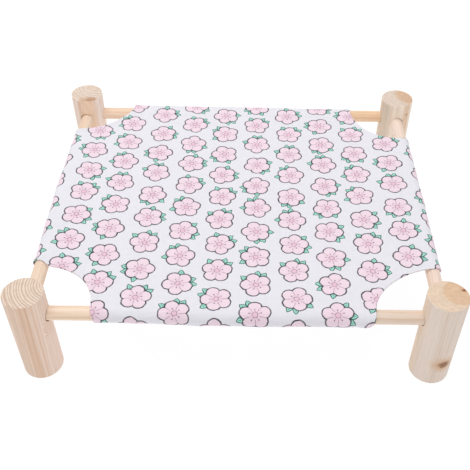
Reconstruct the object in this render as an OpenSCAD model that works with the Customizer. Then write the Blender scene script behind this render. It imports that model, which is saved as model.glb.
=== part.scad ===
// Cat hammock: a cotton sling stretched between four round rails that plug into four round posts.
// Millimetres. The origin is on the floor, midway between the posts. Long rails lie along X.

/* [Posts] */
// Diameter of each post
post_d = 42; // [34:0.5:56]
// Height of each post
post_h = 115; // [90:1:160]
// Width of the eased edge at the top and the foot of a post
post_ease = 1.5; // [0.5:0.1:4]
// Distance between post axes along the long rails
span_x = 420; // [340:1:520]
// Distance between post axes along the short rails
span_y = 360; // [300:1:460]

/* [Rails] */
// Diameter of each rail
rail_d = 15; // [10:0.5:18]
// Distance from a post's top down to the axes of the long rails
long_rail_drop = 31; // [16:0.5:50]
// Distance from a post's top down to the axes of the short rails
short_rail_drop = 28; // [16:0.5:50]
// Width of the eased edge at each end of a rail
rail_ease = 0.8; // [0.2:0.1:2]

/* [Sockets] */
// Gap round a rail in its socket
socket_gap = 0.1; // [0.05:0.05:0.4]
// Gap between a rail's end and the floor of its socket
socket_end_gap = 0.5; // [0.2:0.1:2]
// Wood left between the two sockets of a post
socket_wall = 1.4; // [0.8:0.1:4]

/* [Sling] */
// Thickness of the cloth
cloth_t = 1; // [0.6:0.1:2]
// Gap between the cloth and the top of the rail that it bears on
cloth_gap = 0.3; // [0.2:0.1:1]
// How far a sleeve hangs below its rail
sleeve_slack = 2; // [0.5:0.5:8]
// Distance from a rail's axis in to the seam that closes its sleeve
sleeve_depth = 15; // [13:1:40]
// Width of the sewn seam at the inner edge of a sleeve
seam_w = 4; // [2:0.5:8]
// Gap between the sewn parts of the cloth
seam_gap = 0.3; // [0.1:0.1:1]
// Radius of the round cut-out at each corner of the cloth, about the post's axis
corner_cut_r = 62; // [48:1:90]
// How far the middle of the cloth sags below its edges on the long rails
sag = 4; // [0.5:0.5:20]

/* [Hidden] */
$fn = 96;

post_colour = [0.88, 0.80, 0.71];
rail_colour = [0.92, 0.81, 0.67];
cloth_colour = [0.92, 0.91, 0.95];

rail_r = rail_d / 2;
long_rail_z = post_h - long_rail_drop;
short_rail_z = post_h - short_rail_drop;

// A socket's floor lies this far from its post's axis, so that the two sockets never meet
socket_r = rail_r + socket_gap;
socket_floor = socket_r + socket_wall;
rail_end = socket_floor + socket_end_gap;
long_rail_len = span_x - 2 * rail_end;
short_rail_len = span_y - 2 * rail_end;

// The loop of cloth bears on the rail's top, and its slack hangs below the rail
loop_in_r = rail_r + cloth_gap + sleeve_slack / 2;
loop_out_r = loop_in_r + cloth_t;
loop_drop = sleeve_slack / 2;
long_cloth_top = long_rail_z + rail_r + cloth_gap + cloth_t;
short_cloth_top = short_rail_z + rail_r + cloth_gap + cloth_t;
middle_cloth_top = long_cloth_top - sag;

// The panel's edges lie along the seams of the four sleeves
panel_x = span_x / 2 - sleeve_depth - seam_gap;
panel_y = span_y / 2 - sleeve_depth - seam_gap;
seam_reach = sleeve_depth + seam_gap;
cut_reach = sqrt(pow(corner_cut_r, 2) - pow(seam_reach, 2));
cut_start_y = span_y / 2 - cut_reach;
panel_columns = 20;
middle_rows = 12;
cut_rows = 6;
fall = 2;
loop_steps = 36;

// Rows of the panel run close together where the corner cut-outs curve
cut_step = (panel_y - cut_start_y) / cut_rows;
row_y = concat(
    [for (i = [0 : cut_rows - 1]) -panel_y + i * cut_step],
    [for (i = [0 : middle_rows]) cut_start_y * (2 * i / middle_rows - 1)],
    [for (i = [1 : cut_rows]) cut_start_y + i * cut_step]
);

// Half the panel's width at a row, which follows the corner cut-outs
function half_width(y) =
    abs(y) <= cut_start_y
    ? panel_x
    : span_x / 2 - sqrt(pow(corner_cut_r, 2) - pow(span_y / 2 - abs(y), 2));

// Height of the cloth's upper face: level along each seam, and lowest in the middle
function cloth_top(x, y) =
    let (
        a = pow(min(1, abs(x) / panel_x), fall),
        b = pow(min(1, abs(y) / panel_y), fall),
        side = a * (1 - b),
        end = b * (1 - a),
        middle = (1 - a) * (1 - b)
    )
    (short_cloth_top * side + long_cloth_top * end + middle_cloth_top * middle) / (side + end + middle);

// Angle at which a line from point p touches the underside of a circle of radius r about the origin
function touch_angle(p, r) = atan2(p[1], p[0]) - acos(r / norm(p));

module eased_rod(d, length, ease) {
    r = d / 2;
    rotate_extrude()
        polygon([
            [0, 0], [r - ease, 0], [r, ease],
            [r, length - ease], [r - ease, length], [0, length]
        ]);
}

// A post with its two sockets, which open along +X and +Y
module corner_post() {
    bore_len = post_d;
    difference() {
        eased_rod(post_d, post_h, post_ease);
        translate([socket_floor, 0, long_rail_z])
            rotate([0, 90, 0])
                cylinder(h = bore_len, r = socket_r);
        translate([0, socket_floor, short_rail_z])
            rotate([-90, 0, 0])
                cylinder(h = bore_len, r = socket_r);
    }
}

// Puts a post in the corner on the given sides, with its sockets facing inwards
module place_post(side_x, side_y) {
    translate([side_x * span_x / 2, side_y * span_y / 2, 0])
        mirror([side_x > 0 ? 1 : 0, 0, 0])
            mirror([0, side_y > 0 ? 1 : 0, 0])
                corner_post();
}

module long_rail(side_y) {
    translate([-long_rail_len / 2, side_y * span_y / 2, long_rail_z])
        rotate([0, 90, 0])
            eased_rod(rail_d, long_rail_len, rail_ease);
}

module short_rail(side_x) {
    translate([side_x * span_x / 2, -short_rail_len / 2, short_rail_z])
        rotate([-90, 0, 0])
            eased_rod(rail_d, short_rail_len, rail_ease);
}

// Outline of a loop of radius r that is drawn out to a flat seam, whose upper corner is [depth, r]
function loop_outline(r, depth, seam_t) =
    let (
        tip = [depth, r - seam_t],
        last = 360 + touch_angle(tip, r)
    )
    concat(
        [for (i = [0 : loop_steps]) let (a = 90 + (last - 90) * i / loop_steps) r * [cos(a), sin(a)]],
        [tip, [depth, r]]
    );

// A sleeve's section. X points inwards from the rail's axis and Y points up.
module sleeve_section() {
    translate([0, -loop_drop])
        difference() {
            polygon(loop_outline(loop_out_r, sleeve_depth, 2 * cloth_t));
            polygon(loop_outline(loop_in_r, sleeve_depth - seam_w, cloth_t / 2));
        }
}

// A sleeve about a rail that lies along X on the front side, before its corners are cut
module sleeve_blank(start, end, z) {
    translate([start, 0, z])
        rotate([90, 0, 90])
            linear_extrude(end - start)
                sleeve_section();
}

module corner_cuts() {
    for (side_x = [-1, 1], side_y = [-1, 1])
        translate([side_x * span_x / 2, side_y * span_y / 2, 0])
            cylinder(h = post_h, r = corner_cut_r);
}

// The sleeve of a long rail is made in a left and a right half
module long_sleeve(side_x, side_y) {
    difference() {
        mirror([side_x < 0 ? 1 : 0, 0, 0])
            mirror([0, side_y > 0 ? 1 : 0, 0])
                translate([0, -span_y / 2, 0])
                    sleeve_blank(seam_gap / 2, span_x / 2, long_rail_z);
        corner_cuts();
    }
}

module short_sleeve(side_x) {
    difference() {
        mirror([side_x > 0 ? 1 : 0, 0, 0])
            translate([-span_x / 2, 0, 0])
                rotate([0, 0, -90])
                    sleeve_blank(-span_y / 2, span_y / 2, short_rail_z);
        corner_cuts();
    }
}

// The panel is a thin sheet: an upper and a lower grid of points, joined round the edge
module cloth_sheet() {
    rows = len(row_y);
    columns = panel_columns + 1;
    layer = rows * columns;
    below = layer * [1, 1, 1];
    upper = [
        for (y = row_y, i = [0 : panel_columns])
            let (x = half_width(y) * (2 * i / panel_columns - 1))
            [x, y, cloth_top(x, y)]
    ];
    lower = [for (p = upper) p - [0, 0, cloth_t]];
    corners = [
        for (j = [0 : rows - 2], i = [0 : columns - 2])
            let (k = j * columns + i)
            [k, k + 1, k + columns + 1, k + columns]
    ];
    edge = concat(
        [for (i = [0 : columns - 1]) i],
        [for (j = [1 : rows - 1]) j * columns + columns - 1],
        [for (i = [columns - 2 : -1 : 0]) (rows - 1) * columns + i],
        [for (j = [rows - 2 : -1 : 1]) j * columns]
    );
    faces = concat(
        [for (c = corners) each [[c[0], c[2], c[1]], [c[0], c[3], c[2]]]],
        [for (c = corners) each [[c[0], c[1], c[2]] + below, [c[0], c[2], c[3]] + below]],
        [
            for (i = [0 : len(edge) - 1])
                let (a = edge[i], b = edge[(i + 1) % len(edge)])
                each [[a, b, b + layer], [a, b + layer, a + layer]]
        ]
    );
    polyhedron(concat(upper, lower), faces);
}

module front_left_post() { color(post_colour) place_post(-1, -1); }
module front_right_post() { color(post_colour) place_post(1, -1); }
module rear_left_post() { color(post_colour) place_post(-1, 1); }
module rear_right_post() { color(post_colour) place_post(1, 1); }
module front_rail() { color(rail_colour) long_rail(-1); }
module rear_rail() { color(rail_colour) long_rail(1); }
module left_rail() { color(rail_colour) short_rail(-1); }
module right_rail() { color(rail_colour) short_rail(1); }
module sling_panel() { color(cloth_colour) cloth_sheet(); }
module left_sleeve() { color(cloth_colour) short_sleeve(-1); }
module right_sleeve() { color(cloth_colour) short_sleeve(1); }
module front_left_sleeve() { color(cloth_colour) long_sleeve(-1, -1); }
module front_right_sleeve() { color(cloth_colour) long_sleeve(1, -1); }
module rear_left_sleeve() { color(cloth_colour) long_sleeve(-1, 1); }
module rear_right_sleeve() { color(cloth_colour) long_sleeve(1, 1); }

front_left_post();
front_right_post();
rear_left_post();
rear_right_post();
front_rail();
rear_rail();
left_rail();
right_rail();
sling_panel();
left_sleeve();
right_sleeve();
front_left_sleeve();
front_right_sleeve();
rear_left_sleeve();
rear_right_sleeve();
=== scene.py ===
import math
import bmesh
import bpy
import numpy as np
from mathutils import Matrix, Vector, noise


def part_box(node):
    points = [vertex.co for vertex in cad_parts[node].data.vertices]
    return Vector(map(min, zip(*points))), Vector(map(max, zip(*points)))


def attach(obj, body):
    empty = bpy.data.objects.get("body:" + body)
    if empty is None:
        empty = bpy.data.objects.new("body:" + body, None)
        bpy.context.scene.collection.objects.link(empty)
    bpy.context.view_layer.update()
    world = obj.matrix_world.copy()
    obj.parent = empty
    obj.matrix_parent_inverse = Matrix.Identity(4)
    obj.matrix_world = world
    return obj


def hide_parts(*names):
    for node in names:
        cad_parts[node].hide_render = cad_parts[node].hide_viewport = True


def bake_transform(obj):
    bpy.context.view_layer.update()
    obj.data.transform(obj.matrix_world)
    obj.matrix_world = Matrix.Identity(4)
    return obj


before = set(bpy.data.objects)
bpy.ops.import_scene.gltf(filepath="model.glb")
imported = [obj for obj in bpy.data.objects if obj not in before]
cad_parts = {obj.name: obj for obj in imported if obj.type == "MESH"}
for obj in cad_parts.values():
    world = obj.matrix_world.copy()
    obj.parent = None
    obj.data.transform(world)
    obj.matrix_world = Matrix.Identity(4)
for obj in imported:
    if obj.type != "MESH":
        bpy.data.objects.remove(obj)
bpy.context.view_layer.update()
print("frame loaded")

tiny = 1e-6  # anything smaller counts as nothing
sliver = 2e-6  # shorter edges are closed up after a cut
creaseAngle = math.radians(38)  # sharper edges stay sharp
white = (1.0, 1.0, 1.0, 1.0)


def middleOf(node):
    low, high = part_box(node)
    return (low + high) / 2


def signsOf(corner):
    # a corner's side of the middle along X and Y
    return (-1 if "Left" in corner else 1), (-1 if "front" in corner else 1)


def levelDirection(azimuth):
    # unit vector, degrees from +X
    return Vector((math.cos(math.radians(azimuth)), math.sin(math.radians(azimuth)), 0))


def deselectAll():
    bpy.ops.object.select_all(action="DESELECT")


def selectOnly(piece):
    deselectAll()
    piece.select_set(True)
    bpy.context.view_layer.objects.active = piece


def added(operator, name, location=(0, 0, 0), **how):
    # a new object, made by one of Blender's operators
    deselectAll()
    operator(location=location, **how)
    bpy.context.object.name = name
    return bpy.context.object


# sizes that the pieces share, read from the frame
railLow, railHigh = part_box("front_rail")
postLow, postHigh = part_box("front_left_post")
railRadius = (railHigh.z - railLow.z) / 2
longRailZ = middleOf("front_rail").z
shortRailZ = middleOf("left_rail").z
halfX = middleOf("right_rail").x  # post axes lie at these distances from the middle
halfY = middleOf("rear_rail").y
postHeight = postHigh.z
postRadius = (postHigh.x - postLow.x) / 2
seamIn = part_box("front_left_sleeve")[1].y + halfY  # from a rail's axis in to the seam


# small helpers for shader nodes: a value is a number, a colour or another node's output
def feed(value, socket):
    if isinstance(value, bpy.types.NodeSocket):
        socket.id_data.links.new(value, socket)
    else:
        socket.default_value = value


def feedAll(node, inputs):
    for key, value in inputs.items():
        feed(value, node.inputs[key])
    return node


def put(tree, kind, inputs, **settings):
    node = tree.nodes.new(kind)
    for name, value in settings.items():
        setattr(node, name, value)
    return feedAll(node, inputs)


def treeOf(values):
    return next(value.id_data for value in values if isinstance(value, bpy.types.NodeSocket))


def calc(operation, *values):
    return put(treeOf(values), "ShaderNodeMath", dict(enumerate(values)), operation=operation).outputs[0]


def plus(first, second):
    return calc("ADD", first, second)


def minus(first, second):
    return calc("SUBTRACT", first, second)


def times(first, second):
    return calc("MULTIPLY", first, second)


def ratio(first, second):
    return calc("DIVIDE", first, second)


def most(first, second):
    return calc("MAXIMUM", first, second)


def calcVector(operation, *values):
    node = put(treeOf(values), "ShaderNodeVectorMath", dict(enumerate(values)), operation=operation)
    return node.outputs["Value" if operation in ("LENGTH", "DOT_PRODUCT") else "Vector"]


def stretch(vector, amounts):
    return calcVector("MULTIPLY", vector, amounts)


def flatten(vector):
    return stretch(vector, (1, 1, 0))


def scaleBy(vector, amount):
    inputs = {0: vector, "Scale": amount}
    return put(vector.id_data, "ShaderNodeVectorMath", inputs, operation="SCALE").outputs["Vector"]


def split(vector):
    return put(vector.id_data, "ShaderNodeSeparateXYZ", {0: vector}).outputs


def joined(x, y, z):
    return put(x.id_data, "ShaderNodeCombineXYZ", {0: x, 1: y, 2: z}).outputs[0]


def fade(value, low, high, start=0.0, end=1.0):
    # goes smoothly from start to end as the value goes from low to high
    inputs = {"Value": value, "From Min": low, "From Max": high, "To Min": start, "To Max": end}
    return put(value.id_data, "ShaderNodeMapRange", inputs, interpolation_type="SMOOTHSTEP").outputs["Result"]


def cloud(vector, waves, detail=2.0, roughness=0.5):
    # noise with so many waves to the metre each way: a value, then a colour
    inputs = {"Vector": stretch(vector, waves), "Scale": 1.0, "Detail": detail, "Roughness": roughness}
    return put(vector.id_data, "ShaderNodeTexNoise", inputs).outputs


def drift(vector, waves, detail):
    # an offset that wanders from place to place, by half a unit each way
    return calcVector("SUBTRACT", cloud(vector, waves, detail)[1], (0.5, 0.5, 0.5))


def mixColour(share, first, second, way="MIX"):
    inputs = {0: share, 6: first, 7: second}
    return put(treeOf(inputs.values()), "ShaderNodeMix", inputs, data_type="RGBA", blend_type=way).outputs[2]


def tinted(colour, tint, share):
    return mixColour(share, colour, tint, "MULTIPLY")


def shade(colour, amount):
    grey = put(amount.id_data, "ShaderNodeCombineColor", {0: amount, 1: amount, 2: amount}).outputs[0]
    return tinted(colour, grey, 1.0)


def bumpFrom(height, distance, strength):
    inputs = {"Height": height, "Distance": distance, "Strength": strength}
    return put(height.id_data, "ShaderNodeBump", inputs).outputs[0]


def newGroup(name, inputs, outputs):
    # an input without a default is a vector, and an output called Colour is a colour
    tree = bpy.data.node_groups.new(name, "ShaderNodeTree")
    for label, value in inputs.items():
        kind = "NodeSocketVector" if value is None else "NodeSocketFloat"
        socket = tree.interface.new_socket(label, in_out="INPUT", socket_type=kind)
        if value is not None:
            socket.default_value = value
    for label in outputs:
        kind = "NodeSocketColor" if label == "Colour" else "NodeSocketFloat"
        tree.interface.new_socket(label, in_out="OUTPUT", socket_type=kind)
    return tree, tree.nodes.new("NodeGroupInput").outputs, tree.nodes.new("NodeGroupOutput")


def useGroup(tree, group, inputs):
    return put(tree, "ShaderNodeGroup", inputs, node_tree=group).outputs


def newMaterial(name):
    material = bpy.data.materials.new(name)
    material.use_nodes = True
    return material, material.node_tree, material.node_tree.nodes["Principled BSDF"]


def rgb(*screen):
    # a screen colour, 0 to 255, as the linear colour that a socket takes, by the sRGB curve
    shares = [c / 255 for c in screen]
    return (*(c / 12.92 if c <= 0.04045 else ((c + 0.055) / 1.055) ** 2.4 for c in shares), 1.0)


cameraSettings = {
    "imagePx": 470, "focalPx": 709.567, "centrePx": (250.0, 235.0),
    "place": (0.015993, -0.646542, 0.637433),
    "pitch": 0.7576, "yaw": -0.00408, "roll": 0.00964,  # radians
    "sensor": 36, "sight": 50,  # millimetres, metres
}


def makeCamera(settings):
    pitch, yaw, roll = settings["pitch"], settings["yaw"], settings["roll"]
    forward = Vector((math.sin(yaw) * math.cos(pitch), math.cos(yaw) * math.cos(pitch), -math.sin(pitch)))
    level = Vector((math.cos(yaw), -math.sin(yaw), 0))
    upright = level.cross(forward)
    right = level * math.cos(roll) + upright * math.sin(roll)
    up = upright * math.cos(roll) - level * math.sin(roll)
    camera = added(bpy.ops.object.camera_add, "photoCamera", location=settings["place"])
    camera.rotation_euler = Matrix((right, up, -forward)).transposed().to_euler()
    camera.data.sensor_width = settings["sensor"]
    camera.data.lens = settings["sensor"] * settings["focalPx"] / settings["imagePx"]
    camera.data.shift_x = 0.5 - settings["centrePx"][0] / settings["imagePx"]
    camera.data.shift_y = settings["centrePx"][1] / settings["imagePx"] - 0.5
    camera.data.clip_end = settings["sight"]
    bpy.context.scene.camera = camera


makeCamera(cameraSettings)
print("camera placed")

studioSettings = {
    "skyStrength": 0.635, "skySeen": 1.0,  # the backdrop looks as white as the floor
    "aim": (0, 0, 0.06),
    "lamps": {  # name: (place, size, watts)
        "softboxTop": ((-0.30, 0.22, 1.85), 1.6, 18.2),
        "softboxFront": ((0.4, -2.0, 1.0), 1.6, 1.0),
    },
    "floorSize": 14.0, "floorDrop": 0.0002,
    # a light table, so that shadows stay faint
    "floorPaint": (0.20, 0.20, 0.20, 1), "floorRoughness": 0.95, "floorGlow": 0.86,
}


def lightStudio(settings):
    world = bpy.data.worlds.new("studioSky")
    bpy.context.scene.world = world
    world.use_nodes = True
    seen = put(world.node_tree, "ShaderNodeLightPath", {}).outputs["Is Camera Ray"]
    more = settings["skySeen"] - settings["skyStrength"]
    strength = calc("MULTIPLY_ADD", seen, more, settings["skyStrength"])
    feedAll(world.node_tree.nodes["Background"], {"Color": white, "Strength": strength})
    for name, (place, size, watts) in settings["lamps"].items():
        lamp = added(bpy.ops.object.light_add, name, type="AREA", location=place)
        lamp.data.size = size
        lamp.data.energy = watts
        lamp.rotation_euler = (Vector(settings["aim"]) - Vector(place)).to_track_quat("-Z", "Y").to_euler()
    bpy.context.scene.view_settings.view_transform = "Standard"


def layFloor(settings):
    size, place = settings["floorSize"], (0, 0, -settings["floorDrop"])
    floor = added(bpy.ops.mesh.primitive_plane_add, "studioFloor", size=size, location=place)
    paper, _, shader = newMaterial("floorPaper")
    feedAll(shader, {
        "Base Color": settings["floorPaint"], "Roughness": settings["floorRoughness"],
        "Specular IOR Level": 0.0, "Emission Color": white, "Emission Strength": settings["floorGlow"],
    })
    floor.data.materials.append(paper)


lightStudio(studioSettings)
layFloor(studioSettings)
print("studio ready")

# pine: year rings round a pith that lies along local Z, with streaks and fibres along it
pineSettings = {
    "bends": (((17, 17, 3), 1.0, 1.0), ((95, 95, 11), 2.0, 0.2)),  # waves, detail, share of the waviness
    "yearNoise": 0.47, "yearSpread": 1.2,  # the years differ in width
    "lateWood": (0.15, 0.6), "yearEnd": (0.8, 1.0, 1.0, 0.0),  # when in the year it darkens and stops
    "streak": ((240, 240, 5), 3.0, 0.6), "fibre": ((1700, 1700, 45), 2.0, 0.6),
}
knotSettings = {  # in sizes of the knot
    "ragged": ((420, 420, 300), 2.0), "raggedDepth": 0.7,
    "core": (0.45, 1.2, 1.0, 0.0), "halo": (0.7, 2.6, 1.0, 0.0),
    "push": 1.6,  # how far the rings bend round it
}


def makePineGroup(settings):
    inputs = {"Vector": None, "Ring Width": 0.004, "Waviness": 0.004, "Push": 0.0}
    tree, given, out = newGroup("pineGrain", inputs, ("Ring", "Streak", "Fibre", "Radius"))
    bent = given["Vector"]
    for waves, detail, share in settings["bends"]:
        wander = scaleBy(drift(given["Vector"], waves, detail), times(given["Waviness"], share))
        bent = calcVector("ADD", bent, wander)
    radius = calcVector("LENGTH", flatten(bent))
    years = ratio(plus(radius, given["Push"]), given["Ring Width"])
    inputs = {"W": times(years, settings["yearNoise"]), "Scale": 1.0, "Detail": 1.0}
    uneven = put(tree, "ShaderNodeTexNoise", inputs, noise_dimensions="1D").outputs[0]
    season = calc("FRACT", plus(years, times(uneven, settings["yearSpread"])))
    feedAll(out, {
        "Ring": times(fade(season, *settings["lateWood"]), fade(season, *settings["yearEnd"])),
        "Streak": cloud(bent, *settings["streak"])[0],
        "Fibre": cloud(bent, *settings["fibre"])[0],
        "Radius": radius,
    })
    return tree


def makeKnotGroup(settings):
    inputs = {"Vector": None, "Centre": None, "Size": 0.003, "Wide": 1.0, "Lean": 0.0}
    tree, given, out = newGroup("knotMark", inputs, ("Core", "Halo", "Push"))
    x, y, z = split(calcVector("SUBTRACT", given["Vector"], given["Centre"]))
    oval = joined(ratio(x, given["Wide"]), y, minus(z, times(x, given["Lean"])))
    ragged = minus(cloud(given["Vector"], *settings["ragged"])[0], 0.5)
    far = ratio(calcVector("LENGTH", oval), given["Size"])
    far = plus(far, times(ragged, settings["raggedDepth"]))
    halo = fade(far, *settings["halo"])
    feedAll(out, {
        "Core": fade(far, *settings["core"]),
        "Halo": halo,
        "Push": times(times(halo, halo), times(given["Size"], settings["push"])),
    })
    return tree


pineGroup = makePineGroup(pineSettings)
knotGroup = makeKnotGroup(knotSettings)

# finish of all the wood; a tone goes from low to high noise, then from its darkest to its palest shade
pineFinish = {
    "sawn": (0.75, 0.95),  # how squarely a face looks along the grain before it counts as a sawn end
    "swirlFlat": (1, 1, 0.6), "swirlRings": (0.5, 1.0, 0.55, 0.0),
    "streaks": (0.44, 0.72), "bandEdge": (0.5, 1.5), "bandWander": 0.35,
    "ringMiddle": 0.4, "heartBlur": (0.8, 1.2), "heartRings": 0.15,  # the rings blur inside the heart
    "sawLines": ((70, 1400, 70), 2.0), "sawTone": (0.3, 0.7, 0.95, 1.04),
    "blotches": ((230, 230, 40), 3.0, 0.6), "blotchTone": (0.3, 0.7, 0.94, 1.05),
    "fibreTone": (0.25, 0.75, 0.95, 1.04),
    "scarLines": ((60, 60, 1500), 2.0), "scarDepth": 0.6, "scarEdge": (0.9, 1.4),
    # colour and reach of the painted shade line round a socket's mouth
    "socketShade": rgb(120, 84, 60), "socketShadeFrom": 0.0002, "socketShadeSide": (0.1, 0.6), "socketShadeFront": (0.0, 0.008),
    "knotHalo": 0.7, "knotCore": 0.85,
    "roughness": (0.2, 0.8, 0.55, 0.75), "specular": 0.25,
    "ringRise": 0.4, "fibreRise": 0.7, "sawRise": 0.8, "bump": (0.0002, 0.7),  # distance, strength
}


def layGrain(tree, centred, wood, finish):
    # the grain, the knots that push it aside, and how strongly its rings show on the side
    push, showing = 0.0, wood["side"][2]
    knots = []
    for knot in wood.get("knots", []):
        mark = useGroup(tree, knotGroup, dict(knot["shape"], Vector=centred))
        push = plus(mark["Push"], push)
        knots.append((mark, knot))
    for centre, size, reach in wood.get("swirls", []):  # nested ovals in the grain, with no knot in them
        offset = stretch(calcVector("SUBTRACT", centred, centre), finish["swirlFlat"])
        far = ratio(calcVector("LENGTH", offset), size)
        push = plus(fade(far, 0.0, 1.0, reach, 0.0), push)
        showing = plus(fade(far, *finish["swirlRings"]), showing)
    # turn the grain along local Z, then shift the pith off the middle
    inputs = {"Vector": centred, "Rotation": wood["turn"], "Location": wood["pith"]}
    turned = put(tree, "ShaderNodeMapping", inputs).outputs[0]
    inputs = {"Vector": turned, "Ring Width": wood["ringWidth"], "Waviness": wood["waviness"], "Push": push}
    return useGroup(tree, pineGroup, inputs), knots, showing


def sideColour(centred, grain, showing, wood, finish):
    early, late, _ = wood["side"]
    colour = mixColour(times(grain["Ring"], showing), early, late)
    tint, depth = wood["streak"]
    colour = tinted(colour, tint, fade(grain["Streak"], *finish["streaks"], 0.0, depth))
    along = split(centred)
    for axis, low, high, tint in wood.get("drifts", []):  # a change of tone from end to end
        colour = tinted(colour, tint, fade(along[axis], low, high))
    inputs = {"Vector": centred, "Angle": times(along[2], wood["twist"])}
    spun = put(centred.id_data, "ShaderNodeVectorRotate", inputs, rotation_type="Z_AXIS").outputs[0]
    outward = calcVector("NORMALIZE", flatten(spun))
    wander = times(minus(grain["Streak"], 0.5), finish["bandWander"])
    for azimuth, half, tint, depth in wood.get("bands", []):  # stripes of other wood down the side
        away = calc("ARCCOSINE", calcVector("DOT_PRODUCT", outward, levelDirection(azimuth)))
        inner, outer = (math.radians(half * share) for share in finish["bandEdge"])
        colour = tinted(colour, tint, fade(plus(away, wander), inner, outer, depth, 0.0))
    return colour


def endColour(centred, grain, sawLines, wood, finish):
    early, late, depth = wood["end"]
    tint, inner, outer, heartDepth = wood["heart"]
    innerBlur, outerBlur = finish["heartBlur"]
    clear = fade(grain["Radius"], innerBlur * inner, outerBlur * outer, finish["heartRings"], depth)
    rings = times(minus(grain["Ring"], finish["ringMiddle"]), clear)
    colour = mixColour(plus(rings, finish["ringMiddle"] * depth), early, late)
    colour = tinted(colour, tint, fade(grain["Radius"], inner, outer, heartDepth, 0.0))
    colour = shade(colour, fade(sawLines, *finish["sawTone"]))
    return shade(colour, fade(cloud(centred, *finish["blotches"])[0], *finish["blotchTone"]))


# scars of wear, then painted shade round the socket mouths
def wearAndShadeColour(centred, colour, wood, finish):
    for centre, size, tint, depth in wood.get("scars", []):  # rough broken patches with level lines
        offset = calcVector("DIVIDE", calcVector("SUBTRACT", centred, centre), size)
        lines = times(cloud(centred, *finish["scarLines"])[0], finish["scarDepth"])
        rough = plus(calcVector("LENGTH", offset), lines)
        colour = tinted(colour, tint, fade(rough, *finish["scarEdge"], depth, 0.0))
    for facing, height, toward, width, depth in wood.get("socketShadeRims", []):  # painted shade: a dark line on one side of a socket's mouth, standing in for the shadow where the rail goes in
        across = tuple(1 - abs(c) for c in facing)
        offset = stretch(calcVector("SUBTRACT", centred, (0, 0, height)), across)
        far = calcVector("LENGTH", offset)
        near = fade(far, railRadius + finish["socketShadeFrom"], railRadius + width, depth, 0.0)
        side = calcVector("DOT_PRODUCT", calcVector("NORMALIZE", offset), toward)
        near = times(near, fade(side, *finish["socketShadeSide"]))
        near = times(near, fade(calcVector("DOT_PRODUCT", centred, facing), *finish["socketShadeFront"]))
        colour = mixColour(near, colour, finish["socketShade"])
    return colour


def makeWood(name, wood, finish=pineFinish):
    material, tree, shader = newMaterial(name)
    where = put(tree, "ShaderNodeTexCoord", {}).outputs
    inputs = {"Vector": where["Object"], "Location": wood["toMiddle"]}
    centred = put(tree, "ShaderNodeMapping", inputs).outputs[0]
    grain, knots, showing = layGrain(tree, centred, wood, finish)
    sawn = fade(calc("ABSOLUTE", split(where["Normal"])[wood["endAxis"]]), *finish["sawn"])
    sawLines = cloud(centred, *finish["sawLines"])[0]
    side = sideColour(centred, grain, showing, wood, finish)
    colour = mixColour(sawn, side, endColour(centred, grain, sawLines, wood, finish))
    colour = shade(colour, fade(grain["Fibre"], *finish["fibreTone"]))
    colour = wearAndShadeColour(centred, colour, wood, finish)
    for mark, knot in knots:
        colour = tinted(colour, knot["halo"], times(mark["Halo"], finish["knotHalo"]))
        colour = mixColour(times(mark["Core"], finish["knotCore"]), colour, knot["core"])
    relief = plus(times(grain["Ring"], finish["ringRise"]), times(grain["Fibre"], finish["fibreRise"]))
    relief = plus(relief, times(times(sawLines, sawn), finish["sawRise"]))
    feedAll(shader, {
        "Base Color": colour,
        "Roughness": fade(grain["Fibre"], *finish["roughness"]),
        "Specular IOR Level": finish["specular"],
        "Normal": bumpFrom(relief, *finish["bump"]),
    })
    return material


# round rods: posts and rails start the same way
def choose(piece, kind, test):
    bpy.ops.mesh.select_mode(type=kind)
    bpy.ops.mesh.select_all(action="DESELECT")
    mesh = bmesh.from_edit_mesh(piece.data)
    for part in mesh.edges if kind == "EDGE" else mesh.faces:
        if test(part):
            part.select_set(True)
    bmesh.update_edit_mesh(piece.data)


def runsAlong(edge, axis):
    return abs(edge.verts[0].co[axis] - edge.verts[1].co[axis])


def turnRod(name, radius, length, settings):
    sides = settings["sides"]
    rod = added(bpy.ops.mesh.primitive_cylinder_add, name, vertices=sides, radius=radius, depth=length)
    bpy.ops.object.mode_set(mode="EDIT")
    choose(rod, "EDGE", lambda edge: runsAlong(edge, 2) < tiny)
    bpy.ops.mesh.bevel(offset=settings["ease"], segments=settings["easeSteps"], affect="EDGES")
    choose(rod, "EDGE", lambda edge: runsAlong(edge, 2) > length / 2)
    bpy.ops.mesh.subdivide(number_cuts=settings["cuts"])
    step = (radius - settings["ease"]) / (settings["capRings"] + 1)
    for _ in range(settings["capRings"]):
        choose(rod, "FACE", lambda face: len(face.verts) == sides)
        bpy.ops.mesh.inset(thickness=step, use_individual=True)
    choose(rod, "FACE", lambda face: len(face.verts) == sides)
    bpy.ops.mesh.poke()
    bpy.ops.object.mode_set(mode="OBJECT")
    return rod


# hand-peeled unevenness, in waves to the metre: swells and ripples of the side, and of the sawn end
weatherSettings = {
    "swell": (28, 28, 9), "ripple": (130, 130, 24), "end": (70, 70, 0),
    "endDepth": 0.004, "apart": (3.7, 1.9, 5.3),  # each seed's noise lies so far from the last
}


def noiseAt(place, waves, shift):
    return noise.noise(Vector(c * w for c, w in zip(place, waves)) + shift)


def weather(rod, radius, settings, seed):
    waves = weatherSettings
    shift = Vector(seed * step for step in waves["apart"])
    topZ = rod.dimensions.z / 2 - waves["endDepth"]
    for vertex in rod.data.vertices:
        place = vertex.co
        outward = Vector((place.x, place.y, 0))
        share = outward.length / radius
        if share > tiny:
            swell = noiseAt(place, waves["swell"], shift) * settings["swell"]
            ripple = noiseAt(place, waves["ripple"], -shift) * settings["ripple"]
            vertex.co += outward.normalized() * share * (swell + ripple)
        if place.z > topZ:
            vertex.co.z += settings["endWave"] * noiseAt(place, waves["end"], shift)


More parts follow.
